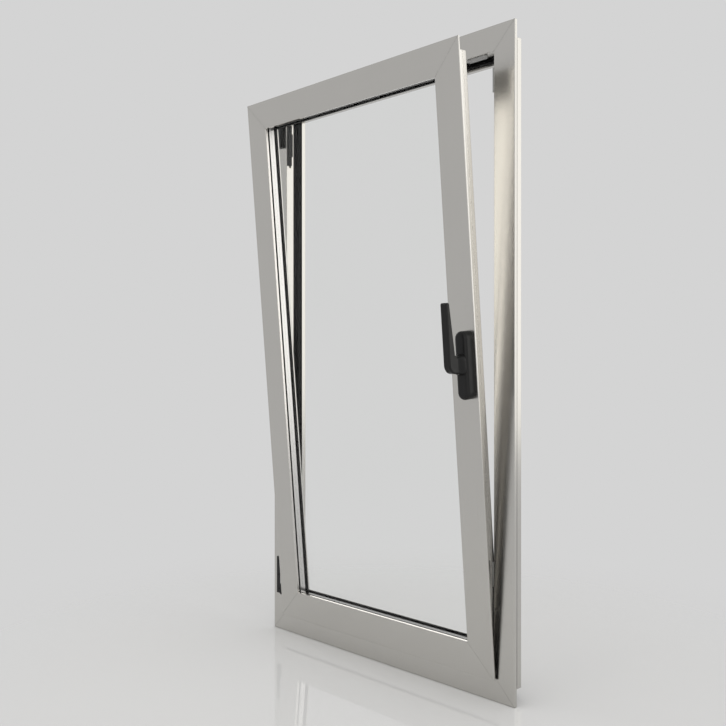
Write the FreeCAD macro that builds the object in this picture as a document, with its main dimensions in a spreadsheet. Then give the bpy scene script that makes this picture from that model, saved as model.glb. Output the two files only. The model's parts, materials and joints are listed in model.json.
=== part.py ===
import FreeCAD, Part
import math
import os
import Sketcher
from FreeCAD import Placement, Rotation, Vector

# Tilt and turn window: an aluminium frame with a wall flange, and a sash that leans into the room.
# X runs to the right as seen from the room, Y out through the wall, Z up.
# The origin is on the wall side of the flange, at the bottom, in the middle.

doc = FreeCAD.newDocument("TiltTurnWindow")
sheet = doc.addObject("Spreadsheet::Sheet", "Sizes")


class Dim:
    """A length in millimetres with the sheet formula that gives it."""

    def __init__(self, value, text):
        self.value = value
        self.text = text

    def __add__(self, other):
        other = as_dim(other)
        return Dim(self.value + other.value, f"({self.text} + {other.text})")

    def __sub__(self, other):
        other = as_dim(other)
        return Dim(self.value - other.value, f"({self.text} - {other.text})")

    def __mul__(self, factor):
        return Dim(self.value * factor, f"({self.text} * {factor})")

    def __truediv__(self, divisor):
        return Dim(self.value / divisor, f"({self.text} / {divisor})")

    def __neg__(self):
        return Dim(-self.value, f"(0 - {self.text})")


def as_dim(number):
    if isinstance(number, Dim):
        return number
    return Dim(number, str(number))


def size(alias, value):
    row = size.rows + 1
    size.rows = row
    sheet.set(f"A{row}", alias)
    sheet.set(f"B{row}", str(value))
    sheet.setAlias(f"B{row}", alias)
    return Dim(value, f"Sizes.{alias}")


size.rows = 0
zero = as_dim(0)

# Whole window
width = size("window_width", 850)
height = size("window_height", 1500)
mitre_gap = size("mitre_gap", 0.25)
edge_round = size("edge_round", 1.5)
cut_spare = size("cut_spare", 1)

# Frame section, measured in from its outer edge and back from its room face
flange_width = size("flange_width", 25)
flange_thick = size("flange_thick", 7.5)
frame_face = size("frame_face_width", 58)
frame_inner_deep = size("frame_inner_depth", 24)
frame_break_deep = size("frame_break_depth", 20)
frame_outer_deep = size("frame_outer_depth", 13)
frame_lip = size("frame_outer_lip", 14)
frame_rim = size("frame_rim_length", 2.5)
frame_rim_thick = size("frame_rim_thick", 2)
break_set_back = size("break_set_back", 4)
frame_break_inset = size("frame_break_inset", 2)
frame_seal_wide = size("frame_seal_width", 8)
fixing_radius = size("fixing_hole_radius", 4)
fixing_spacing = size("fixing_spacing", 550)
drain_wide = size("drain_slot_width", 5)
drain_long = size("drain_slot_length", 30)
drain_rise = size("drain_slot_rise", 12)
drain_spacing = size("drain_slot_spacing", 480)

# Sash section, measured in from its own outer edge and back from its own face
overlap = size("sash_overlap", 9)
closing_gap = size("closing_gap", 6.5)
chamber = size("hardware_chamber", 12)
sash_flange_thick = size("sash_flange_thick", 3.5)
sash_tube = size("sash_tube_width", 28)
sash_lip = size("sash_lip_width", 24)
sash_lip_thick = size("sash_lip_thick", 7)
sash_inner_deep = size("sash_inner_depth", 20)
sash_break_deep = size("sash_break_depth", 16)
sash_outer_deep = size("sash_outer_depth", 13)
cover_leg = size("cover_leg_length", 12)
cover_thick = size("cover_leg_thick", 2)
shadow_wide = size("shadow_line_width", 1.4)
shadow_deep = size("shadow_line_depth", 1)
groove_wide = size("groove_width", 10)
groove_deep = size("groove_depth", 14)
groove_front = size("groove_front", 7)
seal_wide = size("overlap_seal_width", 5)
seal_thick = size("overlap_seal_thick", 1.5)

# Glazing
glazing_seal = size("glazing_seal_thick", 6)
glazing_seal_wide = size("glazing_seal_width", 14)
pane_thick = size("pane_thick", 4)
pane_gap = size("pane_gap", 16)
glass_cover = size("glass_cover", 19)
spacer_inset = size("spacer_inset", 5)
spacer_wide = size("spacer_width", 9)
seal_set_back = size("seal_set_back", 1)
inner_seal_set_back = size("inner_seal_set_back", 0.25)
bead_set_back = size("bead_set_back", 2.5)
bead_foot = size("bead_foot_width", 4)
bead_round = size("bead_round", 4)

# Hinges and stay
tilt_angle = size("tilt_angle", 5)
pivot_height = size("tilt_pivot_height", 65)
axis_inset = size("turn_axis_inset", 42)
axis_front = size("turn_axis_front", 6.5)
barrel_radius = size("hinge_barrel_radius", 4.5)
hinge_pin_radius = size("hinge_pin_radius", 2.5)
pin_play = size("pin_play", 0.05)
knuckle_play = size("knuckle_play", 0.5)
leaf_inset = size("leaf_inset", 15)
leaf_wide = size("leaf_width", 21)
leaf_thick = size("leaf_thick", 3)
web_wide = size("leaf_web_width", 10)
lower_leaf_bottom = size("lower_leaf_bottom", 101)
leaf_tall = size("leaf_height", 102)
lower_knuckle_bottom = size("lower_knuckle_bottom", 131)
lower_knuckle_tall = size("lower_knuckle_height", 50)
upper_knuckle_tall = size("upper_knuckle_height", 22)
strap_thick = size("strap_thick", 3)
strap_front = size("strap_front", 4.5)
hanger_thick = size("hanger_thick", 4)
tilt_pin_radius = size("tilt_pin_radius", 3)
shoe_long = size("shoe_length", 25)
hardware_clear = size("hardware_clearance", 2)
stay_length = size("stay_length", 300)
stay_wide = size("stay_width", 10)
stay_thick = size("stay_thick", 3)
stay_drop = size("stay_pin_drop", 13.5)
stay_pin_radius = size("stay_pin_radius", 3)
stay_head_clear = size("stay_head_clearance", 4.5)
clamp_tall = size("hinge_clamp_height", 112)
clamp_thick = size("hinge_clamp_thick", 8)
clamp_plate = size("clamp_plate_thick", 4)
clamp_boss = size("clamp_boss_height", 64)
clamp_deep = size("hinge_clamp_depth", 14)

# Locking pieces
keeper_thick = size("keeper_thick", 6)
keeper_plate = size("keeper_plate_thick", 2.5)
keeper_wall = size("keeper_wall_thick", 4)
keeper_long = size("keeper_length", 55)
keeper_deep = size("keeper_depth", 12)
keeper_offset = size("keeper_offset", 25)
keeper_front = size("keeper_front", 3)
cam_radius = size("cam_radius", 4.5)
cam_proud = size("cam_proud", 5)
lock_end = size("lock_end_distance", 200)
lock_shift = size("lock_shift", 80)

# Handle
handle_inset = size("handle_inset", 24)
handle_height = size("handle_height", 750)
base_tall = size("handle_base_height", 150)
base_wide = size("handle_base_width", 33)
base_deep = size("handle_base_depth", 24)
base_round = size("handle_base_round", 8)
spindle_radius = size("spindle_radius", 8)
spindle_deep = size("spindle_depth", 6)
neck_radius = size("neck_radius", 14)
neck_deep = size("neck_depth", 5)
root_above = size("lever_root_above", 20)
root_below = size("lever_root_below", 15)
inner_bend = size("lever_inner_bend", 7)
outer_bend = size("lever_outer_bend", 20)
grip_wide = size("grip_width", 19)
grip_root_thick = size("grip_root_thick", 20)
grip_tip_thick = size("grip_tip_thick", 10.5)
grip_stand = size("grip_stand_off", 46)
grip_reach = size("grip_reach", 138)
grip_round = size("grip_edge_round", 3.5)
grip_chamfer = size("grip_tip_chamfer", 2.5)

doc.recompute()

# Places worked out from the sizes: insets from the frame's outer edge, depths as Y
face_y = -flange_thick
frame_break_y = face_y + frame_inner_deep
frame_outer_y = frame_break_y + frame_break_deep
sash_edge = frame_face - overlap
sash_wall = frame_face + chamber
sash_daylight = sash_wall + sash_tube + sash_lip
sash_face_y = face_y - closing_gap - sash_flange_thick
sash_break_y = sash_face_y + sash_inner_deep
sash_outer_y = sash_break_y + sash_break_deep
groove_y = sash_face_y + groove_front + groove_wide / 2
glass_y = sash_face_y + sash_lip_thick + glazing_seal
glass_edge = sash_daylight - glass_cover
outer_pane_y = glass_y + pane_thick + pane_gap
glass_back_y = outer_pane_y + pane_thick
axis_y = face_y - axis_front
strap_y = face_y - strap_front
hanger_inset = frame_face + (chamber - hanger_thick) / 2 - hardware_clear / 2

left_edge = -width / 2
pivot = Vector(0, groove_y.value, pivot_height.value)
tilt = Placement(Vector(0, 0, 0), Rotation(Vector(1, 0, 0), tilt_angle.value), pivot)
flat = Placement()

nodes = []


def node(item, label, placement=None):
    item.Label = label
    if placement is not None:
        item.Placement = placement.multiply(item.Placement)
    nodes.append(item)
    return item


def origin_plane(body, role):
    for feature in body.Origin.OriginFeatures:
        if feature.Role == role:
            return feature
    raise ValueError(role)


def sketch_on(body, name, role):
    sketch = body.newObject("Sketcher::SketchObject", name)
    sketch.AttachmentSupport = (origin_plane(body, role), "")
    sketch.MapMode = "FlatFace"
    return sketch


def fix_point(sketch, line, end, point):
    """Tie one end of a line to the sketch origin by two sizes."""
    for axis, kind, coordinate in ((-2, "DistanceX", point[0]), (-1, "DistanceY", point[1])):
        if coordinate.value == 0:
            sketch.addConstraint(Sketcher.Constraint("PointOnObject", line, end, axis))
        else:
            index = sketch.addConstraint(
                Sketcher.Constraint(kind, -1, 1, line, end, coordinate.value))
            sketch.setExpression(f"Constraints[{index}]", coordinate.text)


def polygon(sketch, points, bends=None):
    """A closed outline through the points. A bend is the centre and radius of the arc after that point,
    and whether it runs clockwise."""
    points = [(as_dim(across), as_dim(along)) for across, along in points]
    corners = [Vector(across.value, along.value, 0) for across, along in points]
    shapes = []
    for index, (start, end) in enumerate(zip(corners, corners[1:] + corners[:1])):
        if bends and index in bends:
            shapes.append(arc_between(sketch, start, end, *bends[index]))
        else:
            shapes.append((sketch.addGeometry(Part.LineSegment(start, end), False), 1, 2))
    for (shape, begin, finish), following in zip(shapes, shapes[1:] + shapes[:1]):
        sketch.addConstraint(Sketcher.Constraint("Coincident", shape, finish, following[0], following[1]))
    for (shape, begin, finish), point in zip(shapes, points):
        fix_point(sketch, shape, begin, point)


def arc_between(sketch, start, end, centre, radius, clockwise):
    middle = Vector(centre[0].value, centre[1].value, 0)
    angles = [math.atan2(point.y - middle.y, point.x - middle.x) for point in (start, end)]
    if clockwise:
        angles.reverse()
    if angles[1] < angles[0]:
        angles[1] += 2 * math.pi
    whole = Part.Circle(middle, Vector(0, 0, 1), radius.value)
    arc = sketch.addGeometry(Part.ArcOfCircle(whole, *angles), False)
    limit = sketch.addConstraint(Sketcher.Constraint("Radius", arc, radius.value))
    sketch.setExpression(f"Constraints[{limit}]", radius.text)
    if clockwise:
        return arc, 2, 1
    return arc, 1, 2


def rectangle(sketch, low_x, high_x, low_y, high_y):
    polygon(sketch, [(low_x, low_y), (high_x, low_y), (high_x, high_y), (low_x, high_y)])


def circle(sketch, across, along, radius):
    index = sketch.addGeometry(
        Part.Circle(Vector(across.value, along.value, 0), Vector(0, 0, 1), radius.value), False)
    fix_point(sketch, index, 3, (across, along))
    limit = sketch.addConstraint(Sketcher.Constraint("Radius", index, radius.value))
    sketch.setExpression(f"Constraints[{limit}]", radius.text)


def pad(body, sketch, length, reverse=False, middle=False):
    feature = body.newObject("PartDesign::Pad", sketch.Name + "Pad")
    feature.Profile = sketch
    feature.setExpression("Length", length.text)
    feature.Reversed = reverse
    feature.Midplane = middle
    return feature


def cut_through(body, sketch):
    doc.recompute()
    before = body.Shape.Volume
    feature = body.newObject("PartDesign::Pocket", sketch.Name + "Cut")
    feature.Profile = sketch
    feature.Type = "ThroughAll"
    feature.Midplane = True
    doc.recompute()
    if body.Shape.Volume >= before:
        raise ValueError(f"{sketch.Name} cuts nothing")
    return feature


def side_placements(inset, face):
    """Where the four members of a rectangle stand, each with X inward and Y out through the wall."""
    across = width.value / 2 - inset.value
    top = height.value - inset.value
    middle = height.value / 2
    depth = Vector(0, 1, 0)
    sides = {}
    for side, inward, corner in (
            ("left", Vector(1, 0, 0), Vector(-across, 0, middle)),
            ("right", Vector(-1, 0, 0), Vector(across, 0, middle)),
            ("bottom", Vector(0, 0, 1), Vector(0, 0, inset.value)),
            ("top", Vector(0, 0, -1), Vector(0, 0, top))):
        turn = Rotation(inward, depth, inward.cross(depth), "XYZ")
        sides[side] = Placement(corner + depth * face.value, turn)
    return sides


def member_length(side, inset):
    whole = height if side in ("left", "right") else width
    return whole - inset * 2


def edges_at(shape, **levels):
    """Names of the edges that lie at the given x, y or z."""
    names = []
    for index, edge in enumerate(shape.Edges, 1):
        bounds = edge.BoundBox
        found = True
        for axis, level in levels.items():
            low = getattr(bounds, axis.upper() + "Min")
            high = getattr(bounds, axis.upper() + "Max")
            found = found and abs(low - level) < 1e-4 and abs(high - level) < 1e-4
        if found:
            names.append(f"Edge{index}")
    return names


def rounded(body, base, edges, radius):
    feature = body.newObject("PartDesign::Fillet", base.Name + "Round")
    feature.Base = (base, edges)
    feature.setExpression("Radius", radius.text)
    doc.recompute()
    return feature


def mitred_member(label, outline, reach, length, soft, radius):
    """One length of extrusion with some soft corners, cut at 45 degrees at both ends."""
    body = doc.addObject("PartDesign::Body", label + "_body")
    section = sketch_on(body, label + "_section", "XY_Plane")
    polygon(section, outline)
    bar = pad(body, section, length, middle=True)
    doc.recompute()
    edges = []
    for across, along in soft:
        edges += edges_at(bar.Shape, x=as_dim(across).value, y=as_dim(along).value)
    rounded(body, bar, edges, radius)
    ends = sketch_on(body, label + "_mitre", "XZ_Plane")
    tip = length / 2 - mitre_gap
    for sign in (1, -1):
        polygon(ends, [
            (-cut_spare, (tip + cut_spare) * sign),
            (reach + cut_spare, (tip - reach - cut_spare) * sign),
            (reach + cut_spare, (tip + cut_spare) * sign)])
    cut_through(body, ends)
    return body


def fixing_holes(body, label):
    """Screw holes through a jamb into the wall, covered by the sash when it is shut."""
    holes = sketch_on(body, label + "_fixings", "YZ_Plane")
    middle_deep = frame_inner_deep / 2
    for step in (-1, 0, 1):
        circle(holes, middle_deep, fixing_spacing * step, fixing_radius)
    cut_through(body, holes)


def drain_slots(body, label):
    """Two slots low in the outside shell that let the rain water out."""
    slots = sketch_on(body, label + "_drains", "XZ_Plane")
    for sign in (1, -1):
        middle = drain_spacing / 2 * sign
        rectangle(slots, drain_rise, drain_rise + drain_wide, middle - drain_long / 2, middle + drain_long / 2)
    cut_through(body, slots)


def members(kind, outline, reach, inset, face, lean, soft, radius=edge_round):
    places = side_placements(inset, face)
    for side, place in places.items():
        label = f"{kind}_{side}"
        body = mitred_member(label, outline, reach, member_length(side, inset), soft, radius)
        if label in ("frame_inner_left", "frame_inner_right"):
            fixing_holes(body, label)
        if label == "frame_outer_bottom":
            drain_slots(body, label)
        body.Placement = place
        node(body, label, lean)


def ring(label, outer_inset, inner_inset, low_y, thick, lean):
    """A closed rectangular strip, such as a seal or a thermal break."""
    body = doc.addObject("PartDesign::Body", label + "_body")
    outline = sketch_on(body, label + "_outline", "XZ_Plane")
    for inset in (outer_inset, inner_inset):
        across = width / 2 - inset
        rectangle(outline, -across, across, inset, height - inset)
    pad(body, outline, thick, reverse=True)
    body.Placement = Placement(Vector(0, low_y.value, 0), Rotation())
    return node(body, label, lean)


def box(name, low, high):
    item = doc.addObject("Part::Box", name)
    for side, axis, start, end in zip(("Length", "Width", "Height"), "xyz", low, high):
        start = as_dim(start)
        item.setExpression(side, (as_dim(end) - start).text)
        item.setExpression(f"Placement.Base.{axis}", start.text)
    return item


def rod(name, start, length, radius, direction="z"):
    item = doc.addObject("Part::Cylinder", name)
    item.setExpression("Height", as_dim(length).text)
    item.setExpression("Radius", radius.text)
    if direction == "x":
        item.Placement = Placement(Vector(), Rotation(Vector(0, 1, 0), 90))
    for axis, place in zip("xyz", start):
        item.setExpression(f"Placement.Base.{axis}", as_dim(place).text)
    return item


def fused(name, items):
    item = doc.addObject("Part::MultiFuse", name)
    item.Shapes = items
    item.Refine = True
    return item


def grouped(name, items):
    """Solids that share one sub-part, with a Placement of its own that can lean."""
    item = doc.addObject("Part::Compound", name)
    item.Links = items
    return item


def cut(name, base, tool):
    item = doc.addObject("Part::Cut", name)
    item.Base = base
    item.Tool = tool
    return item


def make_frame():
    tube = frame_face
    inner = [
        (0, 0), (tube, 0), (tube, frame_inner_deep), (flange_width, frame_inner_deep),
        (flange_width, flange_thick), (0, flange_thick)]
    members("frame_inner", inner, tube, zero, face_y, flat, [(0, 0), (tube, 0)])
    outer_wide = frame_face + frame_lip - flange_width
    outer_deep = frame_outer_deep + frame_rim
    outer = [
        (0, 0), (frame_rim_thick, 0), (frame_rim_thick, frame_rim), (outer_wide, frame_rim),
        (outer_wide, outer_deep), (0, outer_deep)]
    members("frame_outer", outer, outer_wide, flange_width, frame_outer_y - frame_rim, flat,
            [(0, outer_deep), (outer_wide, outer_deep)])
    ring("frame_thermal_break", flange_width + break_set_back, frame_face - frame_break_inset,
         frame_break_y, frame_break_deep, flat)
    ring("frame_centre_seal", frame_face - frame_break_inset, frame_face + frame_seal_wide,
         frame_outer_y - frame_seal_wide, frame_seal_wide, flat)


def make_sash():
    """Each inner extrusion is two sub-parts, its face and its channel, so that the step behind the face stays open."""
    flange = chamber + overlap
    wall = flange + sash_tube
    lip = wall + sash_lip
    face = [
        (0, 0), (lip, 0), (lip, sash_lip_thick), (wall, sash_lip_thick),
        (wall, sash_flange_thick), (0, sash_flange_thick)]
    members("sash_face", face, lip, sash_edge, sash_face_y, tilt, [(0, 0), (lip, 0)])
    channel_deep = sash_inner_deep - sash_flange_thick
    groove_start = groove_front - sash_flange_thick
    groove_end = groove_start + groove_wide
    channel = [
        (0, 0), (sash_tube, 0), (sash_tube, channel_deep), (0, channel_deep), (0, groove_end),
        (groove_deep, groove_end), (groove_deep, groove_start), (0, groove_start)]
    members("sash_channel", channel, sash_tube, sash_wall, sash_face_y + sash_flange_thick, tilt,
            [(0, channel_deep)])
    outer_deep = sash_outer_deep + cover_leg
    outer = [
        (0, 0), (cover_thick, 0), (cover_thick, cover_leg), (sash_tube, cover_leg),
        (sash_tube, outer_deep), (0, outer_deep), (0, cover_leg + shadow_wide),
        (shadow_deep, cover_leg + shadow_wide), (shadow_deep, cover_leg), (0, cover_leg)]
    members("sash_outer", outer, sash_tube, sash_wall, sash_outer_y - cover_leg, tilt, [(0, outer_deep)])
    ring("sash_thermal_break", sash_wall + break_set_back, sash_wall + sash_tube - break_set_back,
         sash_break_y, sash_break_deep, tilt)
    ring("overlap_seal", sash_edge + seal_set_back, sash_edge + seal_set_back + seal_wide,
         sash_face_y + sash_flange_thick, seal_thick, tilt)


def make_glazing():
    seal_inner = sash_daylight - seal_set_back
    seal_outer = seal_inner - glazing_seal_wide
    ring("inner_glazing_seal", seal_outer, sash_daylight - inner_seal_set_back, glass_y - glazing_seal,
         glazing_seal, tilt)
    for label, low_y in (("inner_pane", glass_y), ("outer_pane", outer_pane_y)):
        across = width / 2 - glass_edge
        pane = box(label + "_sheet", (-across, low_y, glass_edge),
                   (across, low_y + pane_thick, height - glass_edge))
        node(grouped(label + "_whole", [pane]), label, tilt)
    spacer_outer = glass_edge + spacer_inset
    ring("glass_spacer", spacer_outer, spacer_outer + spacer_wide, glass_y + pane_thick, pane_gap, tilt)
    ring("outer_glazing_seal", seal_outer, seal_inner, glass_back_y, glazing_seal, tilt)
    bead_wide = sash_lip - bead_set_back
    bead_front = glass_back_y + glazing_seal - sash_outer_y
    bead = [
        (0, 0), (bead_foot, 0), (bead_foot, bead_front), (bead_wide, bead_front),
        (bead_wide, sash_outer_deep), (0, sash_outer_deep)]
    members("glazing_bead", bead, bead_wide, sash_wall + sash_tube, sash_outer_y, tilt,
            [(bead_wide, sash_outer_deep)], bead_round)


def hinge_leaf(label, bottom, top, gap_bottom, gap_top):
    """A plate on the left jamb with two knuckles and the pin, open between them for the moving knuckle."""
    axis_x = left_edge + axis_inset
    plate_left = left_edge + leaf_inset
    plate = box(label + "_plate", (plate_left, face_y - leaf_thick, bottom),
                (plate_left + leaf_wide, face_y, top))
    pieces = [plate]
    for part, low, high in (("lower", bottom, gap_bottom), ("upper", gap_top, top)):
        pieces.append(box(f"{label}_{part}_web", (axis_x - web_wide, axis_y, low), (axis_x, face_y, high)))
        pieces.append(rod(f"{label}_{part}_knuckle", (axis_x, axis_y, low), high - low, barrel_radius))
    pieces.append(rod(label + "_pin", (axis_x, axis_y, bottom), top - bottom, hinge_pin_radius))
    node(fused(label + "_whole", pieces), label)


def moving_knuckle(label, bottom, tall, strap_end):
    """A knuckle on the turn axis with a strap that passes between sash flange and jamb."""
    axis_x = left_edge + axis_inset
    low = bottom + knuckle_play
    high = bottom + tall - knuckle_play
    knuckle = rod(label + "_knuckle", (axis_x, axis_y, low), high - low, barrel_radius)
    strap = box(label + "_strap", (axis_x, strap_y, low), (strap_end, strap_y + strap_thick, high))
    bore = rod(label + "_bore", (axis_x, axis_y, low - cut_spare), high - low + cut_spare * 2,
               hinge_pin_radius + pin_play)
    return knuckle, strap, bore


def make_lower_hinge():
    lower_top = lower_leaf_bottom + leaf_tall
    knuckle_top = lower_knuckle_bottom + lower_knuckle_tall
    hinge_leaf("lower_hinge_leaf", lower_leaf_bottom, lower_top, lower_knuckle_bottom, knuckle_top)
    hanger_x = left_edge + hanger_inset
    hanger_end = hanger_x + hanger_thick
    knuckle, strap, bore = moving_knuckle(
        "lower_hinge_arm", lower_knuckle_bottom, lower_knuckle_tall, hanger_end)
    foot = frame_face + hardware_clear
    shoe_back = groove_y + groove_wide / 2
    hanger = box("lower_hinge_hanger", (hanger_x, strap_y, foot),
                 (hanger_end, shoe_back, knuckle_top - knuckle_play))
    shoe_start = left_edge + sash_wall + hardware_clear
    pin = rod("tilt_pin", (hanger_x, groove_y, pivot_height), shoe_start + shoe_long - hanger_x,
              tilt_pin_radius, "x")
    arm = cut("lower_hinge_arm_whole", fused("lower_hinge_arm_solid", [knuckle, strap, hanger, pin]), bore)
    node(arm, "lower_hinge_arm")
    shoe = box("tilt_shoe_block", (shoe_start, groove_y - groove_wide / 2, foot),
               (shoe_start + shoe_long, shoe_back, sash_wall + groove_deep))
    shoe_bore = rod("tilt_shoe_bore", (shoe_start - cut_spare, groove_y, pivot_height),
                    shoe_long + cut_spare * 2,
                    tilt_pin_radius + pin_play, "x")
    node(cut("tilt_shoe_whole", shoe, shoe_bore), "tilt_shoe", tilt)


def stay_swing():
    """Angle of the stay when the sash leans: its end pin then meets the groove in the top rail."""
    lean = math.radians(tilt_angle.value)
    rise = height.value - sash_wall.value - pivot_height.value
    offset = groove_y.value - axis_y.value
    reach = rise * math.sin(lean) - offset
    radius = math.hypot(stay_length.value, offset)
    return math.degrees(math.asin(reach / radius) + math.atan2(offset, stay_length.value))


def make_stay():
    axis_x = left_edge + axis_inset
    stay_top = height - frame_face - stay_head_clear
    stay_low = stay_top - stay_thick
    knuckle_bottom = stay_top + knuckle_play - upper_knuckle_tall
    knuckle_top = stay_top + knuckle_play
    leaf_top = height - frame_face + overlap + stay_head_clear
    hinge_leaf("upper_hinge_leaf", leaf_top - leaf_tall, leaf_top, knuckle_bottom, knuckle_top)
    strap_end = left_edge + hanger_inset + hanger_thick
    knuckle, strap, bore = moving_knuckle("stay", knuckle_bottom, upper_knuckle_tall, strap_end)
    pin_x = axis_x + stay_length
    bar = box("stay_bar", (left_edge + hanger_inset, groove_y - stay_wide / 2, stay_low),
              (pin_x, groove_y + stay_wide / 2, stay_top))
    end = rod("stay_end", (pin_x, groove_y, stay_low), stay_thick, stay_wide / 2)
    swing = Placement(Vector(), Rotation(Vector(0, 0, -1), stay_swing()),
                      Vector(axis_x.value, axis_y.value, 0))
    arm = cut("stay_arm_whole", fused("stay_arm_solid", [knuckle, strap, bar, end]), bore)
    node(arm, "stay_arm", swing)
    pin = rod("stay_pin_rod", (pin_x, groove_y, stay_low - stay_drop), stay_drop, stay_pin_radius)
    node(grouped("stay_pin_whole", [pin]), "stay_pin", swing)
    clamp_x = left_edge + frame_face
    clamp_y = face_y + hardware_clear
    clamp_top = knuckle_bottom - hardware_clear
    clamp_low = clamp_top - clamp_tall
    plate = box("upper_hinge_clamp_plate", (clamp_x, clamp_y, clamp_low),
                (clamp_x + clamp_plate, clamp_y + clamp_deep, clamp_top))
    boss_low = clamp_low + (clamp_tall - clamp_boss) / 2
    boss = box("upper_hinge_clamp_boss", (clamp_x, clamp_y, boss_low),
               (clamp_x + clamp_thick, clamp_y + clamp_deep, boss_low + clamp_boss))
    node(fused("upper_hinge_clamp_whole", [plate, boss]), "upper_hinge_clamp")


def make_locks():
    right_edge = width / 2
    jamb = right_edge - frame_face
    low_y = face_y + keeper_front
    head = height - frame_face
    tip = jamb - keeper_offset
    body = doc.addObject("PartDesign::Body", "head_keeper_body")
    outline = sketch_on(body, "head_keeper_outline", "XY_Plane")
    polygon(outline, [
        (tip - keeper_long, low_y), (tip - keeper_deep / 2, low_y), (tip, low_y + keeper_deep / 2),
        (tip - keeper_deep / 2, low_y + keeper_deep), (tip - keeper_long, low_y + keeper_deep)])
    pad(body, outline, keeper_thick, reverse=True)
    body.Placement = Placement(Vector(0, 0, head.value), Rotation())
    node(body, "head_keeper")
    keepers = []
    cams = []
    for place, lock_z in (("lower", lock_end), ("upper", height - lock_end)):
        keeper_z = lock_z + lock_shift
        keeper_low = keeper_z - keeper_long / 2
        keeper_high = keeper_z + keeper_long / 2
        name = f"{place}_keeper"
        plate = box(name + "_plate", (jamb - keeper_plate, low_y, keeper_low),
                    (jamb, low_y + keeper_deep, keeper_high))
        wall = box(name + "_wall", (jamb - keeper_thick, low_y, keeper_low),
                   (jamb, low_y + keeper_wall, keeper_high))
        keepers.append(fused(name, [plate, wall]))
        cam_long = cam_proud + groove_deep
        cam_x = right_edge - sash_wall - groove_deep
        cams.append(rod(f"{place}_cam", (cam_x, groove_y, lock_z), cam_long, cam_radius, "x"))
    for label, items, lean in (("lock_keepers", keepers, flat), ("lock_cams", cams, tilt)):
        node(grouped(label + "_whole", items), label, lean)


def make_handle():
    handle_x = width / 2 - sash_edge - handle_inset
    base_place = Placement(Vector(handle_x.value, sash_face_y.value, handle_height.value), Rotation())
    body = doc.addObject("PartDesign::Body", "handle_base_body")
    outline = sketch_on(body, "handle_base_outline", "XZ_Plane")
    slot(outline, base_wide / 2, base_tall - base_wide)
    block = pad(body, outline, base_deep)
    doc.recompute()
    rounded(body, block, edges_at(block.Shape, y=-base_deep.value), base_round)
    seat = sketch_on(body, "handle_base_seat", "XZ_Plane")
    seat.AttachmentOffset = Placement(Vector(0, 0, base_deep.value), Rotation())
    seat.setExpression("AttachmentOffset.Base.z", base_deep.text)
    circle(seat, zero, zero, spindle_radius + pin_play)
    hole = body.newObject("PartDesign::Pocket", "handle_base_hole")
    hole.Profile = seat
    hole.setExpression("Length", spindle_deep.text)
    doc.recompute()
    body.Placement = base_place
    node(body, "handle_base", tilt)

    lever = doc.addObject("PartDesign::Body", "handle_lever_body")
    side = sketch_on(lever, "handle_lever_side", "YZ_Plane")
    lever_side(side)
    blade = pad(lever, side, grip_wide, middle=True)
    doc.recompute()
    rims = edges_at(blade.Shape, x=grip_wide.value / 2) + edges_at(blade.Shape, x=-grip_wide.value / 2)
    rounded(lever, blade, rims, grip_round)
    neck = sketch_on(lever, "handle_neck_outline", "XZ_Plane")
    circle(neck, zero, zero, neck_radius)
    pad(lever, neck, neck_deep + grip_round)
    boss = sketch_on(lever, "handle_spindle_outline", "XZ_Plane")
    circle(boss, zero, zero, spindle_radius)
    pad(lever, boss, spindle_deep - knuckle_play, reverse=True)
    doc.recompute()
    lever.Placement = base_place.multiply(Placement(Vector(0, -base_deep.value, 0), Rotation()))
    node(lever, "handle_lever", tilt)


def lever_side(sketch):
    """The lever from its side: a deep root on the neck, bent upwards into a grip that thins to its tip."""
    inner = grip_stand - grip_root_thick
    tip_inner = grip_stand - grip_tip_thick
    polygon(sketch, [
        (-neck_deep, -root_below), (-neck_deep, root_above), (inner_bend - inner, root_above),
        (-inner, root_above + inner_bend), (-tip_inner, grip_reach - grip_chamfer),
        (-tip_inner - grip_chamfer, grip_reach), (grip_chamfer - grip_stand, grip_reach),
        (-grip_stand, grip_reach - grip_chamfer), (-grip_stand, outer_bend - root_below),
        (outer_bend - grip_stand, -root_below)],
        {2: ((inner_bend - inner, root_above + inner_bend), inner_bend, True),
         8: ((outer_bend - grip_stand, outer_bend - root_below), outer_bend, False)})


def slot(sketch, radius, between):
    """A long outline with half-round ends, centred on the sketch origin."""
    half = between.value / 2
    wide = radius.value
    up = Vector(0, 0, 1)
    top = sketch.addGeometry(
        Part.ArcOfCircle(Part.Circle(Vector(0, half, 0), up, wide), 0, math.pi), False)
    left = sketch.addGeometry(Part.LineSegment(Vector(-wide, half, 0), Vector(-wide, -half, 0)), False)
    bottom = sketch.addGeometry(
        Part.ArcOfCircle(Part.Circle(Vector(0, -half, 0), up, wide), math.pi, 2 * math.pi), False)
    right = sketch.addGeometry(Part.LineSegment(Vector(wide, -half, 0), Vector(wide, half, 0)), False)
    for first, second in ((top, left), (left, bottom), (bottom, right), (right, top)):
        sketch.addConstraint(Sketcher.Constraint("Tangent", first, 2, second, 1))
    sketch.addConstraint(Sketcher.Constraint("PointOnObject", top, 3, -2))
    sketch.addConstraint(Sketcher.Constraint("Symmetric", top, 3, bottom, 3, -1, 1))
    limit = sketch.addConstraint(Sketcher.Constraint("Radius", top, wide))
    sketch.setExpression(f"Constraints[{limit}]", radius.text)
    apart = sketch.addConstraint(Sketcher.Constraint("DistanceY", bottom, 3, top, 3, between.value))
    sketch.setExpression(f"Constraints[{apart}]", between.text)


def check_document():
    for item in doc.Objects:
        if "Invalid" in item.State or "Error" in item.State:
            raise RuntimeError(f"{item.Label} did not build: {item.State}")
    for item in nodes:
        if item.Shape.isNull() or not item.Shape.isValid():
            raise RuntimeError(f"{item.Label} has no sound shape")


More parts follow.
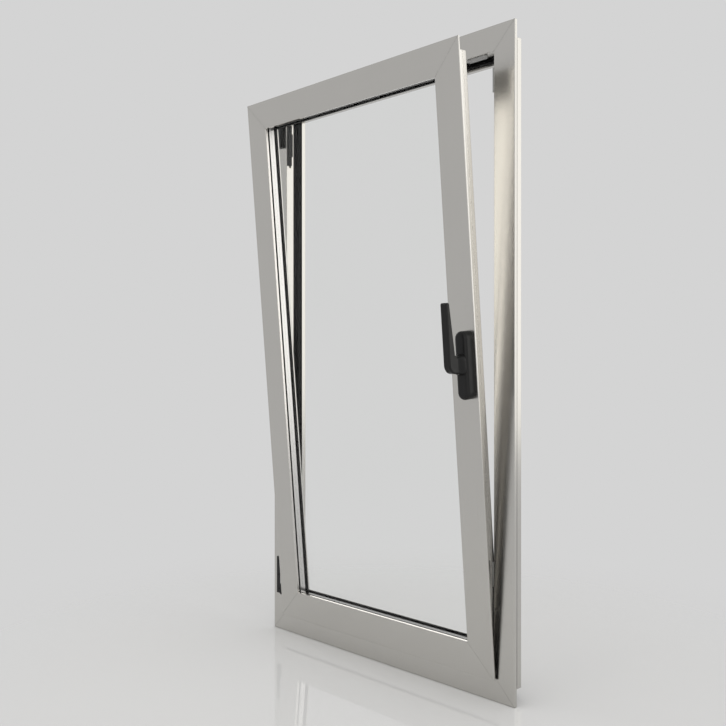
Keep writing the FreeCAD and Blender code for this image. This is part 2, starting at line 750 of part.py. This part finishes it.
make_frame()
make_sash()
make_glazing()
make_lower_hinge()
make_stay()
make_locks()
make_handle()
doc.recompute()
check_document()
os.makedirs("parts", exist_ok=True)
for item in nodes:
    item.Shape.exportStep(f"parts/{item.Label}.step")
print(len(nodes), "sub-parts, stay swing", round(stay_swing(), 3))
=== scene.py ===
import json
import math

import bpy
from mathutils import Matrix, Vector


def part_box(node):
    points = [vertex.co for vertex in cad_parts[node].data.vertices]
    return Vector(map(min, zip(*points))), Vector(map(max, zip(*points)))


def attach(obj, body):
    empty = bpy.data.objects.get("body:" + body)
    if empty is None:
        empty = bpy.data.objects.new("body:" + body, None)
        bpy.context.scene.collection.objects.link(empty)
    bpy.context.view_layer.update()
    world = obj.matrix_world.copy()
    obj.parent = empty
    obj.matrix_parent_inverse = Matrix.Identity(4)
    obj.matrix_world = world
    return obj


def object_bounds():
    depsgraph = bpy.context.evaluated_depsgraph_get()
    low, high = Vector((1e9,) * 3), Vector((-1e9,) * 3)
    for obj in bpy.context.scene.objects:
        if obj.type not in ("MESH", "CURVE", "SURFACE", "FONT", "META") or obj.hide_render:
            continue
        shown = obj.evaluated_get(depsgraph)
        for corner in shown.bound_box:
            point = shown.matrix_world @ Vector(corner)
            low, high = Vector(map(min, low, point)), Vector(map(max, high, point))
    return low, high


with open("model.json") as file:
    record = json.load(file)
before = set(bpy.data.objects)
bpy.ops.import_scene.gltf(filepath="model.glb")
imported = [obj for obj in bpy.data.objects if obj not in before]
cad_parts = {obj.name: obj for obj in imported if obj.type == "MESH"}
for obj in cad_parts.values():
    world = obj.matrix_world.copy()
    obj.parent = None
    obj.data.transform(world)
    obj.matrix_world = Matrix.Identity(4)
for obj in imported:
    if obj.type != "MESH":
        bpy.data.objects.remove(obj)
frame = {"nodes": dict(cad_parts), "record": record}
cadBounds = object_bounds()
nodes = frame["nodes"]
joints = {joint["name"]: joint for joint in frame["record"]["behaviour"]["joints"]}
lean = math.radians(5)  # how far the sash stands open at rest
sides = ("left", "right", "bottom", "top")
print("frame loaded,", len(nodes), "nodes")


def addObject(name, data):
    item = bpy.data.objects.new(name, data)
    bpy.context.scene.collection.objects.link(item)
    return item


# small helpers for node trees
def makeNode(tree, kind, inputs=None, **props):
    item = tree.nodes.new(kind)
    for key, value in props.items():
        setattr(item, key, value)
    for key, value in (inputs or {}).items():
        if isinstance(value, bpy.types.NodeSocket):
            tree.links.new(value, item.inputs[key])
        else:
            item.inputs[key].default_value = value
    return item


def startMaterial(name):
    material = bpy.data.materials.new(name)
    material.use_nodes = True
    return material, material.node_tree, material.node_tree.nodes["Principled BSDF"]


def objectCoords(tree, turn=0.0, scale=(1, 1, 1)):
    coords = makeNode(tree, "ShaderNodeTexCoord").outputs["Object"]
    if turn:  # into the leaning sash's own axes
        coords = makeNode(tree, "ShaderNodeMapping", {"Vector": coords, "Rotation": (-turn, 0, 0)}).outputs[0]
    return makeNode(tree, "ShaderNodeMapping", {"Vector": coords, "Scale": scale}).outputs[0]


def noiseOn(tree, coords, scale, detail=2.0, rough=0.5):
    return makeNode(tree, "ShaderNodeTexNoise", {
        "Vector": coords, "Scale": scale, "Detail": detail, "Roughness": rough}).outputs["Fac"]


def blendTones(tree, factor, low, high):
    mix = makeNode(tree, "ShaderNodeMix", data_type="RGBA")
    tree.links.new(factor, mix.inputs[0])
    mix.inputs[6].default_value = (*low, 1)
    mix.inputs[7].default_value = (*high, 1)
    return mix.outputs[2]


def spread(tree, value, low, high, fromLow=0.3, fromHigh=0.7):
    return makeNode(tree, "ShaderNodeMapRange", {
        "Value": value, "From Min": fromLow, "From Max": fromHigh, "To Min": low, "To Max": high}).outputs[0]


def addBump(tree, shader, height, strength, distance):
    bump = makeNode(tree, "ShaderNodeBump", {"Height": height, "Strength": strength, "Distance": distance})
    tree.links.new(bump.outputs["Normal"], shader.inputs["Normal"])


def mixSurface(tree, factor, shader):  # shader where the factor is 0, see-through where it is 1
    through = makeNode(tree, "ShaderNodeBsdfTransparent")
    mix = makeNode(tree, "ShaderNodeMixShader", {0: factor, 1: shader.outputs[0], 2: through.outputs[0]})
    tree.links.new(mix.outputs[0], tree.nodes["Material Output"].inputs["Surface"])


# finishes
fineGrain = {"detail": 3.0, "rough": 0.6}
anodised = {
    "face": (0.585, 0.572, 0.545),
    "wall": (0.67, 0.656, 0.63),  # sides of the sash, hidden when it is shut; made paler than the face as painted light in the shaded gap
    "inner": (0.9, 0.885, 0.86),  # backs and the hardware channel; made much paler as painted light in these shaded recesses
    "toneSteps": (0.1, 0.3, 0.7, 0.9),  # back, wall, wall and face, as the normal turns to the front; the paler back and wall tones are painted light
    "worn": 0.977,  # how dark the streaks go
    "streakRange": (0.15, 0.4),
    "roughness": (0.21, 0.26),
    "cloudScale": 7.0,
    "lineScale": 900.0,  # die lines, per metre across the length
    "lineStretch": 1.5,
    "lineStrength": 0.02,
    "lineDepth": 0.00004,
}


def anodisedMetal(name, along, turn, facing, back, wall, face):  # facing: which way its face looks along y
    material, tree, shader = startMaterial(name)
    scale = [anodised["lineScale"]] * 3
    scale["xyz".index(along)] = anodised["lineStretch"]
    lines = noiseOn(tree, objectCoords(tree, turn, scale), 1.0, **fineGrain)
    clouds = noiseOn(tree, objectCoords(tree, turn), anodised["cloudScale"])
    both = makeNode(tree, "ShaderNodeMath", {0: lines, 1: clouds}, operation="MULTIPLY").outputs[0]
    normal = makeNode(tree, "ShaderNodeTexCoord").outputs["Normal"]
    across = makeNode(tree, "ShaderNodeSeparateXYZ", {"Vector": normal}).outputs["Y"]
    # painted light: surfaces facing away from the front get the paler wall and back tones, which lighten the
    # shaded gaps
    ramp = makeNode(tree, "ShaderNodeValToRGB", {"Fac": spread(tree, across, 0, 1, -facing, facing)})
    tones = ramp.color_ramp.elements
    for place, tone in zip(anodised["toneSteps"], (back, wall, wall, face)):
        tones.new(place).color = (*anodised[tone], 1)
    tones.remove(tones[0])  # the two that a new ramp starts with
    tones.remove(tones[-1])
    worn = spread(tree, both, anodised["worn"], 1, *anodised["streakRange"])
    streaks = makeNode(tree, "ShaderNodeVectorMath", {0: ramp.outputs[0], "Scale": worn}, operation="SCALE")
    tree.links.new(streaks.outputs[0], shader.inputs["Base Color"])
    tree.links.new(spread(tree, lines, *anodised["roughness"]), shader.inputs["Roughness"])
    shader.inputs["Metallic"].default_value = 1.0
    addBump(tree, shader, lines, anodised["lineStrength"], anodised["lineDepth"])
    return material


paneGlass = {
    "clear": (0.995, 0.995, 0.995),
    "faint": (0.985, 0.99, 0.985),
    "cloudScale": 3.0,
    "ior": 1.12,  # kept low, so that the rebate behind the panes stays dark
}


def clearGlass(name):
    material, tree, shader = startMaterial(name)
    clouds = noiseOn(tree, objectCoords(tree, lean), paneGlass["cloudScale"])
    tone = blendTones(tree, clouds, paneGlass["faint"], paneGlass["clear"])
    tree.links.new(tone, shader.inputs["Base Color"])
    shader.inputs["Roughness"].default_value = 0.0
    shader.inputs["IOR"].default_value = paneGlass["ior"]
    shader.inputs["Transmission Weight"].default_value = 1.0
    path = makeNode(tree, "ShaderNodeLightPath")  # lamps reach the metal behind the panes
    lampPath = makeNode(tree, "ShaderNodeMath", {
        0: path.outputs["Is Shadow Ray"], 1: path.outputs["Is Reflection Ray"]}, operation="MAXIMUM")
    mixSurface(tree, lampPath.outputs[0], shader)
    return material


broadPatch = 30  # grains across one broad patch of tone
darkFinishes = {  # low tone, high tone, roughness range, gloss, grain per metre, bump strength, bump depth
    "sealRubber": ((0.005, 0.005, 0.005), (0.011, 0.011, 0.011), (0.55, 0.75), 0.2, 600.0, 0.25, 0.0001),
    "breakPolyamide": ((0.006, 0.006, 0.006), (0.014, 0.014, 0.014), (0.55, 0.7), 0.2, 350.0, 0.3, 0.0001),
    "blackCoat": ((0.006, 0.006, 0.006), (0.012, 0.012, 0.012), (0.4, 0.52), 0.3, 1400.0, 0.25, 0.00006),
    "handleCoat": ((0.005, 0.005, 0.005), (0.009, 0.009, 0.009), (0.34, 0.44), 0.3, 1800.0, 0.2, 0.00005),
}


def darkFinish(name):
    low, high, rough, gloss, grain, strength, depth = darkFinishes[name]
    material, tree, shader = startMaterial(name)
    coords = objectCoords(tree)
    fine = noiseOn(tree, coords, grain, **fineGrain)
    broad = noiseOn(tree, coords, grain / broadPatch)
    tree.links.new(blendTones(tree, broad, low, high), shader.inputs["Base Color"])
    tree.links.new(spread(tree, broad, *rough), shader.inputs["Roughness"])
    shader.inputs["Specular IOR Level"].default_value = gloss
    addBump(tree, shader, fine, strength, depth)
    return material


greyGrain = {"detail": 4.0, "rough": 0.65}
greyBump = {"strength": 0.12, "distance": 0.00008}
greyFinishes = {  # low tone, high tone, roughness range, grain per metre, how metallic
    "castZinc": ((0.3, 0.3, 0.295), (0.42, 0.42, 0.41), (0.4, 0.55), 260.0, 0.15),
    "spacerBar": ((0.63, 0.625, 0.615), (0.69, 0.685, 0.675), (0.24, 0.32), 500.0, 1.0),
    "plainSteel": ((0.5, 0.5, 0.49), (0.62, 0.62, 0.6), (0.25, 0.38), 700.0, 1.0),
}


def greyFinish(name):
    low, high, rough, grain, metal = greyFinishes[name]
    material, tree, shader = startMaterial(name)
    fine = noiseOn(tree, objectCoords(tree), grain, **greyGrain)
    tree.links.new(blendTones(tree, fine, low, high), shader.inputs["Base Color"])
    tree.links.new(spread(tree, fine, *rough), shader.inputs["Roughness"])
    shader.inputs["Metallic"].default_value = metal
    addBump(tree, shader, fine, **greyBump)
    return material


metals = {}
for part, *settings in (  # turn, facing, then the tones of back, wall and face; the wall and inner tones are painted light in the sash's shaded gaps and channel
        ("frame", 0.0, -1, "face", "face", "face"),
        ("sashFace", lean, -1, "inner", "wall", "face"),
        ("sashChannel", lean, -1, "inner", "inner", "inner"),
        ("sashOuter", lean, 1, "inner", "wall", "face")):
    metals[part, "upright"] = anodisedMetal(part + "Upright", "z", *settings)
    metals[part, "rail"] = anodisedMetal(part + "Rail", "x", *settings)
glass = clearGlass("paneGlass")
darks = {name: darkFinish(name) for name in darkFinishes}
greys = {name: greyFinish(name) for name in greyFinishes}
print("finishes made")


# finishes onto the solids
nodeFinish = {
    "frame_thermal_break": darks["breakPolyamide"],
    "sash_thermal_break": darks["breakPolyamide"],
    "tilt_shoe": darks["breakPolyamide"],
    "frame_centre_seal": darks["sealRubber"],
    "overlap_seal": darks["sealRubber"],
    "inner_glazing_seal": darks["sealRubber"],
    "outer_glazing_seal": darks["sealRubber"],
    "inner_pane": glass,
    "outer_pane": glass,
    "glass_spacer": greys["spacerBar"],
    "lower_hinge_leaf": darks["blackCoat"],
    "upper_hinge_leaf": darks["blackCoat"],
    "upper_hinge_clamp": darks["blackCoat"],
    "lower_hinge_arm": greys["plainSteel"],
    "stay_arm": greys["plainSteel"],
    "stay_pin": greys["plainSteel"],
    "head_keeper": greys["castZinc"],
    "lock_keepers": greys["castZinc"],
    "lock_cams": greys["plainSteel"],
    "handle_base": darks["handleCoat"],
    "handle_lever": darks["handleCoat"],
}
for kind, part in (
        ("frame_inner", "frame"), ("frame_outer", "frame"), ("sash_face", "sashFace"),
        ("sash_channel", "sashChannel"), ("sash_outer", "sashOuter"), ("glazing_bead", "sashOuter")):
    for side in sides:
        nodeFinish[f"{kind}_{side}"] = metals[part, "upright" if side in ("left", "right") else "rail"]

for name, finish in nodeFinish.items():
    nodes[name].data.materials.clear()
    nodes[name].data.materials.append(finish)
print("finishes set on", len(nodeFinish), "nodes")


# edges that catch the light on the small fittings and the seals
edgeBevel = {"weld": 0.00002, "segments": 2, "angle": 40}
edgeRounds = {  # node: bevel width in metres
    "lower_hinge_leaf": 0.0006,
    "upper_hinge_leaf": 0.0006,
    "upper_hinge_clamp": 0.0008,
    "lower_hinge_arm": 0.0004,
    "stay_arm": 0.0004,
    "head_keeper": 0.0005,
    "lock_keepers": 0.0005,
    "inner_glazing_seal": 0.0012,
    "outer_glazing_seal": 0.0012,
    "frame_centre_seal": 0.0015,
    "overlap_seal": 0.0005,
}
for name, width in edgeRounds.items():
    weld = nodes[name].modifiers.new("weld", "WELD")
    weld.merge_threshold = edgeBevel["weld"]
    bevel = nodes[name].modifiers.new("edge", "BEVEL")
    bevel.width = width
    bevel.segments = edgeBevel["segments"]
    bevel.limit_method = "ANGLE"
    bevel.angle_limit = math.radians(edgeBevel["angle"])
    bevel.harden_normals = True
print("edges rounded on", len(edgeRounds), "nodes")


# small things that repeat, made with geometry nodes
def startTree(name, inputs):
    tree = bpy.data.node_groups.new(name, "GeometryNodeTree")
    tree.interface.new_socket("Geometry", in_out="INPUT", socket_type="NodeSocketGeometry")
    tree.interface.new_socket("Geometry", in_out="OUTPUT", socket_type="NodeSocketGeometry")
    sockets = {}
    for label, kind in inputs.items():
        sockets[label] = tree.interface.new_socket(label, in_out="INPUT", socket_type=kind).identifier
    return tree, sockets, tree.nodes.new("NodeGroupInput")


def endTree(tree, start, placed):
    plain = makeNode(tree, "GeometryNodeRealizeInstances", {"Geometry": placed.outputs[0]})
    finish = makeNode(tree, "GeometryNodeSetMaterial", {
        "Geometry": plain.outputs[0], "Material": start.outputs["Finish"]})
    makeNode(tree, "NodeGroupOutput", {"Geometry": finish.outputs[0]})


def grow(piece, tree, sockets, values):  # run the tree once and keep a plain mesh
    modifier = piece.modifiers.new("grow", "NODES")
    modifier.node_group = tree
    for label, value in values.items():
        modifier[sockets[label]] = value
    bpy.context.view_layer.update()
    ready = piece.evaluated_get(bpy.context.evaluated_depsgraph_get())
    mesh = bpy.data.meshes.new_from_object(ready)
    piece.modifiers.clear()
    piece.data = mesh


def ringFaces(rings, count):  # quads from each ring of points to the next
    faces = []
    for ring in range(rings - 1):
        for step in range(count):
            following = (step + 1) % count
            faces.append((ring * count + step, ring * count + following,
                          (ring + 1) * count + following, (ring + 1) * count + step))
    return faces


screwHead = {
    "radius": 0.0029,
    "rise": 0.0011,
    "sunk": 0.0004,  # into the plate
    "dome": ((1.0, 0.35), (0.86, 0.8), (0.6, 1.0)),  # shares of the radius and the rise
    "socket": 0.0012,
    "socketDepth": 0.0009,
    "sides": 18,
}


def screwMesh():
    radius, rise, socket = screwHead["radius"], screwHead["rise"], screwHead["socket"]
    rings = [(radius, -screwHead["sunk"])]  # radius, height
    rings += [(radius * wide, rise * tall) for wide, tall in screwHead["dome"]]
    socketFrom = len(rings)
    rings += [(socket, rise), (socket, rise - screwHead["socketDepth"])]
    count = screwHead["sides"]
    points = []
    for index, (reach, height) in enumerate(rings):
        for step in range(count):
            angle = 2 * math.pi * step / count
            out = reach
            if index >= socketFrom:  # six-sided
                out = reach / math.cos((angle % (math.pi / 3)) - math.pi / 6)
            points.append((out * math.cos(angle), out * math.sin(angle), height))
    floor = list(range(len(points) - count, len(points)))
    mesh = bpy.data.meshes.new("screw")
    mesh.from_pydata(points, [], ringFaces(len(rings), count) + [floor])
    return mesh


def screwTree():
    tree, sockets, start = startTree("screws", {
        "Screw": "NodeSocketObject", "Size": "NodeSocketFloat", "Finish": "NodeSocketMaterial"})
    shape = makeNode(tree, "GeometryNodeObjectInfo", {"Object": start.outputs["Screw"]})
    facing = makeNode(tree, "GeometryNodeInputNamedAttribute", {"Name": "facing"}, data_type="FLOAT_VECTOR")
    turn = makeNode(tree, "FunctionNodeAlignRotationToVector", {"Vector": facing.outputs[0]}, axis="Z")
    placed = makeNode(tree, "GeometryNodeInstanceOnPoints", {
        "Points": start.outputs["Geometry"], "Instance": shape.outputs["Geometry"],
        "Rotation": turn.outputs[0], "Scale": start.outputs["Size"]})
    endTree(tree, start, placed)
    return tree, sockets


def spotMesh(name, spots):
    mesh = bpy.data.meshes.new(name)
    mesh.from_pydata([place for place, facing in spots], [], [])
    facings = mesh.attributes.new("facing", "FLOAT_VECTOR", "POINT")
    for item, (place, facing) in zip(facings.data, spots):
        item.vector = facing
    return mesh


screwSpots = {  # metres in from the sides of each piece's box
    "leafIn": 0.0085,
    "leafBack": 0.003,
    "leafShares": (0.12, 0.5, 0.88),  # of the leaf's height
    "clampIn": 0.004,
    "clampEnd": 0.012,
    "keeperIn": 0.0025,
    "keeperBack": 0.004,
    "keeperTall": 0.055,  # one keeper; the box spans both
    "keeperRises": (0.011, 0.044),  # from a keeper's lower end
}


def hingeSpots():
    spots = []
    for name in ("lower_hinge_leaf", "upper_hinge_leaf"):
        low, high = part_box(name)
        across, depth = low.x + screwSpots["leafIn"], high.y - screwSpots["leafBack"]
        for share in screwSpots["leafShares"]:
            spots.append(((across, depth, low.z + (high.z - low.z) * share), (0, -1, 0)))
    low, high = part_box("upper_hinge_clamp")
    for height in (low.z + screwSpots["clampEnd"], high.z - screwSpots["clampEnd"]):
        spots.append(((low.x + screwSpots["clampIn"], (low.y + high.y) / 2, height), (1, 0, 0)))
    return spots


def keeperSpots():
    spots = []
    low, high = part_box("lock_keepers")
    across, depth = high.x - screwSpots["keeperIn"], high.y - screwSpots["keeperBack"]
    for start in (low.z, high.z - screwSpots["keeperTall"]):  # a low one and a high one
        for rise in screwSpots["keeperRises"]:
            spots.append(((across, depth, start + rise), (-1, 0, 0)))
    return spots


screw = addObject("screwShape", screwMesh())
tree, sockets = screwTree()
for name, spots, finish, slotName, scale in (
        ("hinge_screws", hingeSpots(), darks["blackCoat"], "black_metal", 1.0),
        ("keeper_screws", keeperSpots(), greys["castZinc"], "zinc", 0.9)):
    piece = addObject(name, spotMesh(name, spots))
    grow(piece, tree, sockets, {"Screw": screw, "Size": scale, "Finish": finish})
    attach(piece, "frame")
bpy.data.objects.remove(screw)
print("screws placed")


spacerHoles = {
    "pitch": 0.006,
    "radius": 0.0007,
    "corners": 8,
    "inset": 0.117,  # the bar's inner face, from the window's top and bottom
    "barThick": 0.009,
    "depth": 0.0075,  # middle of the gap between the panes, with the sash shut
    "lift": 0.00006,
}


def holesTree():
    tree, sockets, start = startTree("spacerHoles", {
        "Pitch": "NodeSocketFloat", "Radius": "NodeSocketFloat", "Outward": "NodeSocketVector",
        "Finish": "NodeSocketMaterial"})
    line = makeNode(tree, "GeometryNodeMeshToCurve", {"Mesh": start.outputs["Geometry"]})
    spots = makeNode(tree, "GeometryNodeResampleCurve", {
        "Curve": line.outputs[0], "Length": start.outputs["Pitch"]}, mode="LENGTH")
    along = makeNode(tree, "GeometryNodeInputTangent")
    across = makeNode(tree, "ShaderNodeVectorMath", {0: start.outputs["Outward"], 1: along.outputs[0]},
                      operation="CROSS_PRODUCT")
    turn = makeNode(tree, "FunctionNodeAlignRotationToVector", {"Vector": across.outputs[0]}, axis="Z")
    disc = makeNode(tree, "GeometryNodeMeshCircle", {
        "Vertices": spacerHoles["corners"], "Radius": start.outputs["Radius"]}, fill_type="NGON")
    placed = makeNode(tree, "GeometryNodeInstanceOnPoints", {
        "Points": spots.outputs[0], "Instance": disc.outputs[0], "Rotation": turn.outputs[0]})
    endTree(tree, start, placed)
    return tree, sockets


def makeSpacerHoles():
    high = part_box("glass_spacer")[1]
    pivot = Vector(joints["sash_tilt"]["pos_m"])
    leaning = Matrix.Translation(pivot) @ Matrix.Rotation(lean, 4, "X") @ Matrix.Translation(-pivot)
    across = high.x - spacerHoles["barThick"] - spacerHoles["lift"]  # inner face of the bar
    bottom = spacerHoles["inset"] + spacerHoles["lift"]
    top = cadBounds[1].z - bottom
    corners = [(-across, bottom), (across, bottom), (across, top), (-across, top)]
    points = [leaning @ Vector((x, spacerHoles["depth"], z)) for x, z in corners]
    mesh = bpy.data.meshes.new("spacer_holes")
    mesh.from_pydata(points, [(0, 1), (1, 2), (2, 3), (3, 0)], [])
    piece = addObject("spacer_holes", mesh)
    tree, sockets = holesTree()
    outward = leaning.to_3x3() @ Vector((0, -1, 0))
    grow(piece, tree, sockets, {"Pitch": spacerHoles["pitch"], "Radius": spacerHoles["radius"],
                                "Outward": outward, "Finish": darks["sealRubber"]})
    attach(piece, "sash")


makeSpacerHoles()
print("spacer holes placed")


handleFlare = {  # metres; outlines are half width, reach above and below the spindle, corner radius
    "root": (0.0095, 0.02, 0.015, 0.0035),
    "rim": (0.0162, 0.026, 0.021, 0.016),
    "lift": 0.0004,  # clear of the plate, so that it turns freely
    "height": 0.022,
    "tuck": 0.05,  # its last ring lies just inside the root
    "rings": 10,
    "cornerSteps": 8,
    "sharpAngle": 40,
}


def flareOutline(out):  # 0 on the lever's root, 1 at the rim
    wide, above, below, bend = [root + (rim - root) * out
                                for root, rim in zip(handleFlare["root"], handleFlare["rim"])]
    steps = handleFlare["cornerSteps"]
    outline = []
    for turn, (x, z) in enumerate(((wide - bend, above - bend), (bend - wide, above - bend),
                                   (bend - wide, bend - below), (wide - bend, bend - below))):
        for step in range(steps + 1):
            angle = math.pi / 2 * (turn + step / steps)
            outline.append((x + bend * math.cos(angle), z + bend * math.sin(angle)))
    return outline


def makeHandleFlare():
    spindle = joints["handle_turn"]
    middle = Vector(spindle["pos_m"])  # on the plate's front
    outward = -Vector(spindle["axis"])
    right = Vector((1, 0, 0))
    up = outward.cross(right)
    levels = []  # distance from the plate, how far out
    for ring in range(handleFlare["rings"] + 1):
        share = ring / handleFlare["rings"]
        ease = share * share * (3 - 2 * share)  # wide past the neck, then into the root
        level = handleFlare["lift"] + (handleFlare["height"] - handleFlare["lift"]) * share
        levels.append((level, 1 - (1 + handleFlare["tuck"]) * ease))
    points = []
    for level, out in levels:
        points += [middle + right * x + outward * level + up * z for x, z in flareOutline(out)]
    count = len(points) // len(levels)
    under = list(reversed(range(count)))
    over = list(range(len(points) - count, len(points)))
    mesh = bpy.data.meshes.new("handle_flare")
    mesh.from_pydata(points, [], [under] + ringFaces(len(levels), count) + [over])
    mesh.shade_smooth()
    mesh.set_sharp_from_angle(angle=math.radians(handleFlare["sharpAngle"]))
    mesh.materials.append(darks["handleCoat"])
    piece = addObject("handle_flare", mesh)
    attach(piece, "handle")


makeHandleFlare()
print("handle flare made")


# floor, light and camera
room = {
    "back": 0.658,  # pale grey behind the window
    "fill": 0.62,
    "floorTone": (0.84, 0.84, 0.838),
    "floorRough": 0.03,
    "floorGloss": 0.35,
    "floorHalf": 3.2,
    "floorDrop": 0.0004,
    "fadeFrom": 0.5,
    "fadeTo": 1.5,
    "lampTone": (1.0, 0.975, 0.92),
}


def makeFloor():
    half, drop = room["floorHalf"], -room["floorDrop"]
    mesh = bpy.data.meshes.new("floor")
    mesh.from_pydata([(x, y, drop) for x, y in ((-half, -half), (half, -half), (half, half), (-half, half))],
                     [], [(0, 1, 2, 3)])
    floor = addObject("floor", mesh)
    material, tree, shader = startMaterial("paleFloor")
    shader.inputs["Base Color"].default_value = (*room["floorTone"], 1)
    shader.inputs["Roughness"].default_value = room["floorRough"]
    shader.inputs["Specular IOR Level"].default_value = room["floorGloss"]
    far = makeNode(tree, "ShaderNodeVectorMath", {0: objectCoords(tree)}, operation="LENGTH").outputs["Value"]
    fade = makeNode(tree, "ShaderNodeMapRange", {
        "Value": far, "From Min": room["fadeFrom"], "From Max": room["fadeTo"], "To Min": 0, "To Max": 1},
        interpolation_type="SMOOTHSTEP")
    mixSurface(tree, fade.outputs[0], shader)
    mesh.materials.append(material)


def makeWorld():
    world = bpy.data.worlds.new("studio")
    bpy.context.scene.world = world
    world.use_nodes = True
    tree = world.node_tree
    tree.nodes.clear()
    path = makeNode(tree, "ShaderNodeLightPath")
    seen = path.outputs["Is Camera Ray"]
    for ray in ("Is Glossy Ray", "Is Transmission Ray"):
        either = makeNode(tree, "ShaderNodeMath", {0: seen, 1: path.outputs[ray]}, operation="MAXIMUM")
        seen = either.outputs[0]
    back = makeNode(tree, "ShaderNodeBackground", {"Color": (room["back"],) * 3 + (1,), "Strength": 1.0})
    fill = makeNode(tree, "ShaderNodeBackground", {"Color": (1, 1, 1, 1), "Strength": room["fill"]})
    mix = makeNode(tree, "ShaderNodeMixShader", {0: seen, 1: fill.outputs[0], 2: back.outputs[0]})
    makeNode(tree, "ShaderNodeOutputWorld", {"Surface": mix.outputs[0]})


rightWalls = ("sash_channel_right", "sash_outer_right", "glazing_bead_right")
lamps = {  # place, aim, width, height, power, pieces it leaves out, pieces it is kept to
    "rightBack": ((2.9, 2.6, 1.75), (0, 0, 1.4), 2.4, 3.0, 22, ("floor",), ()),
    "leftBack": ((-3.2, 3.0, 2.6), (0, 0, 0.9), 3.0, 2.6, 24, ("floor", "glass_spacer"), ()),
    "leftBackMore": ((-3.27, 3.07, 2.62), (0, 0, 0.9), 3.0, 2.6, 38, (), rightWalls),
    "frontRight": ((3.5, -2.9, 1.85), (0, 0, 1.5), 2.4, 3.1, 25, ("floor",), ()),
    "frontRightMore": ((3.57, -2.97, 1.86), (0, 0, 1.5), 2.4, 3.1, 31, (), rightWalls),
    "above": ((0.5, -0.7, 3.6), (0, 0, 0.3), 2.2, 2.2, 30, (), ()),
}


def makeLamps():
    for name, (place, aim, wide, tall, power, leftOut, keptTo) in lamps.items():
        light = bpy.data.lights.new(name, "AREA")
        light.shape = "RECTANGLE"
        light.size = wide
        light.size_y = tall
        light.energy = power
        light.color = room["lampTone"]
        lamp = addObject(name, light)
        lamp.location = place
        lamp.rotation_euler = (Vector(aim) - Vector(place)).to_track_quat("-Z", "Y").to_euler()
        lamp.visible_camera = False
        lamp.visible_transmission = False
        if leftOut or keptTo:
            group = bpy.data.collections.new(name + "Pieces")
            for item in leftOut + keptTo:
                group.objects.link(bpy.data.objects[item] if item == "floor" else nodes[item])
            for item in group.collection_objects:
                item.light_linking.link_state = "EXCLUDE" if leftOut else "INCLUDE"
            lamp.light_linking.receiver_collection = group
        else:
            lamp.visible_glossy = False  # or its shape shows in the floor


view = {"place": (1.662, -1.6205, 0.755), "turn": (89.88, 0, 46.82), "lens": 45.77, "sensor": 36}


def makeCamera():
    data = bpy.data.cameras.new("camera")
    data.lens = view["lens"]
    data.sensor_width = view["sensor"]
    camera = addObject("camera", data)
    camera.location = view["place"]
    camera.rotation_euler = [math.radians(angle) for angle in view["turn"]]
    bpy.context.scene.camera = camera


makeFloor()
makeWorld()
makeLamps()
makeCamera()
bpy.context.scene.view_settings.view_transform = "Standard"
print("studio set")

bpy.context.view_layer.update()
